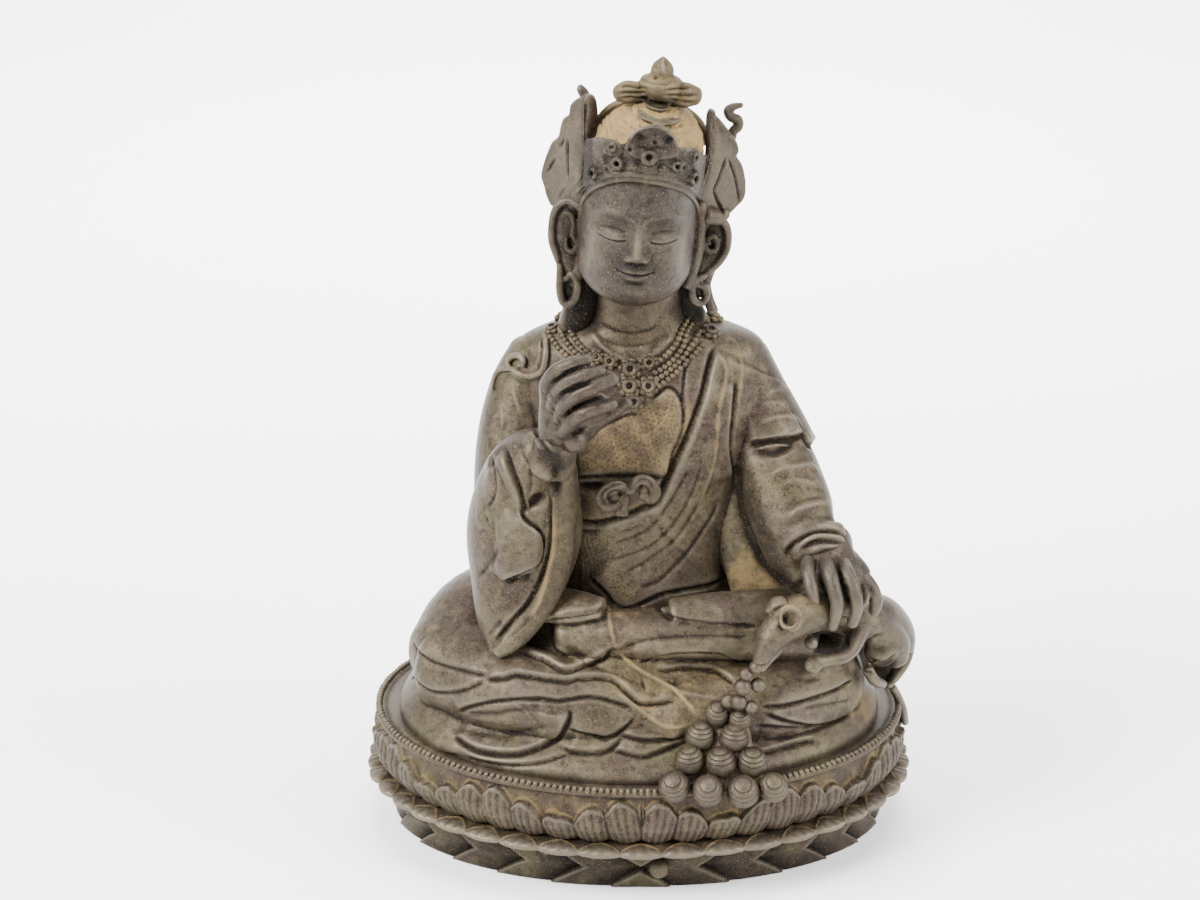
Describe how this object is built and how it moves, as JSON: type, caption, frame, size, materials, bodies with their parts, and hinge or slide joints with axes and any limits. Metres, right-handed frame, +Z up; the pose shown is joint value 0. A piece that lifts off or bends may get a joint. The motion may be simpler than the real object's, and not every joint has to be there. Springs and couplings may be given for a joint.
{
  "type": "bronze buddhist deity statue",
  "caption": "Small cast-bronze crowned deity seated cross-legged on an oval lotus seat, right hand raised, left hand on a mongoose that spits jewels, with old dark patina.",
  "frame": {"origin": "on the ground under the middle of the whole figure, at the underside of the lotus seat", "axes": "+Z up, the figure faces -Y, +X is towards the figure's left hand and the mongoose"},
  "size_m": [0.128, 0.098, 0.1805],
  "materials": {
    "bronze": "aged dark brown patina with ochre dirt in the recesses, satin"
  },
  "bodies": {
    "root": {"statue": "bronze"}
  },
  "joints": []
}
